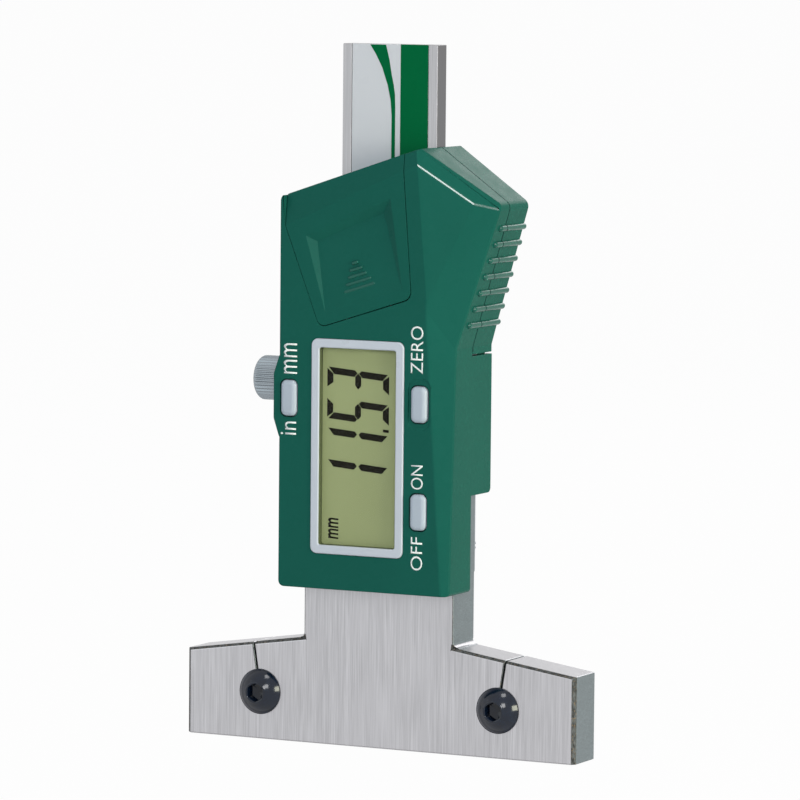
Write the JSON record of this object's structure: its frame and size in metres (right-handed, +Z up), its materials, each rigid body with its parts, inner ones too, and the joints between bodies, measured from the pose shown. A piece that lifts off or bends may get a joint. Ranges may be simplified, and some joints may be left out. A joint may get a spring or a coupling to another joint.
{
  "type": "digital depth caliper",
  "caption": "Digital depth caliper: steel T base, sliding steel beam, faceted plastic casing with display, push buttons, battery cover and lock screw.",
  "frame": {"origin": "centre of the measuring face, where the beam's end lies flush with it at rest", "axes": "+X along the base to the right as seen from the display side, +Y from the display to the back, +Z up along the beam, away from the measured surface"},
  "size_m": [0.066, 0.0151, 0.1067],
  "materials": {
    "frame_steel": "satin, fine upright grinding lines",
    "beam_steel": "satin, fine lengthwise grinding lines",
    "plate_steel": "satin",
    "knob_steel": "satin, straight knurl",
    "small_screw_steel": "plain",
    "black_steel": "black oxide, glossy",
    "gib_brass": "plain",
    "cell_steel": "plain",
    "contact_metal": "plated",
    "label_film": "printed film, white and green fields",
    "scale_board": "laminate",
    "casing_plastic": "moulded, satin gloss, dark green",
    "bezel_plastic": "pale silver",
    "window_clear": "clear",
    "display_grey": "olive grey liquid crystal",
    "carrier_plastic": "moulded",
    "contact_rubber": "plain",
    "chip_plastic": "moulded",
    "board_laminate": "laminate",
    "button_plastic": "moulded, light grey"
  },
  "bodies": {
    "frame": {"base_frame": "frame_steel", "gib_strip": "gib_brass", "gib_screws": "black_steel", "lock_pad": "gib_brass", "rear_plate": "plate_steel", "back_screws": "small_screw_steel", "front_casing": "casing_plastic", "rear_casing": "casing_plastic", "rear_casing_screws": "black_steel", "coin_cell": "cell_steel", "battery_contact_plus": "contact_metal", "battery_contact_minus": "contact_metal", "circuit_board": "board_laminate", "board_screws": "small_screw_steel", "display_bezel": "bezel_plastic", "display_window": "window_clear", "display_glass": "display_grey", "display_carrier": "carrier_plastic", "contact_strips": "contact_rubber", "measuring_chip": "chip_plastic", "dome_switches": "contact_metal", "base_screw_left": "black_steel", "base_screw_right": "black_steel"},
    "beam": {"beam": "beam_steel", "scale_strip": "scale_board", "beam_label": "label_film"},
    "battery_cover": {"battery_cover": "casing_plastic"},
    "unit_button": {"unit_button": "button_plastic"},
    "zero_button": {"zero_button": "button_plastic"},
    "power_button": {"power_button": "button_plastic"},
    "lock_screw": {"lock_screw": "knob_steel"}
  },
  "joints": [
    {"name": "beam_slide", "type": "slide", "parent": "frame", "child": "beam", "axis": [0, 0, -1], "range_m": [0, 0.015]},
    {"name": "cover_slide", "type": "slide", "parent": "frame", "child": "battery_cover", "axis": [-0.0767, 0, 0.9971], "range_m": [0, 0.012]},
    {"name": "unit_press", "type": "slide", "parent": "frame", "child": "unit_button", "axis": [0, 1, 0], "range_m": [0, 0.0004], "stiffness_N_per_m": 1500},
    {"name": "zero_press", "type": "slide", "parent": "frame", "child": "zero_button", "axis": [0, 1, 0], "range_m": [0, 0.0004], "stiffness_N_per_m": 1500},
    {"name": "power_press", "type": "slide", "parent": "frame", "child": "power_button", "axis": [0, 1, 0], "range_m": [0, 0.0004], "stiffness_N_per_m": 1500},
    {"name": "lock_turn", "type": "hinge", "parent": "frame", "child": "lock_screw", "pos_m": [-0.0189, 0.00036, 0.0553], "axis": [1, 0, 0], "range_deg": [0, 360]}
  ]
}
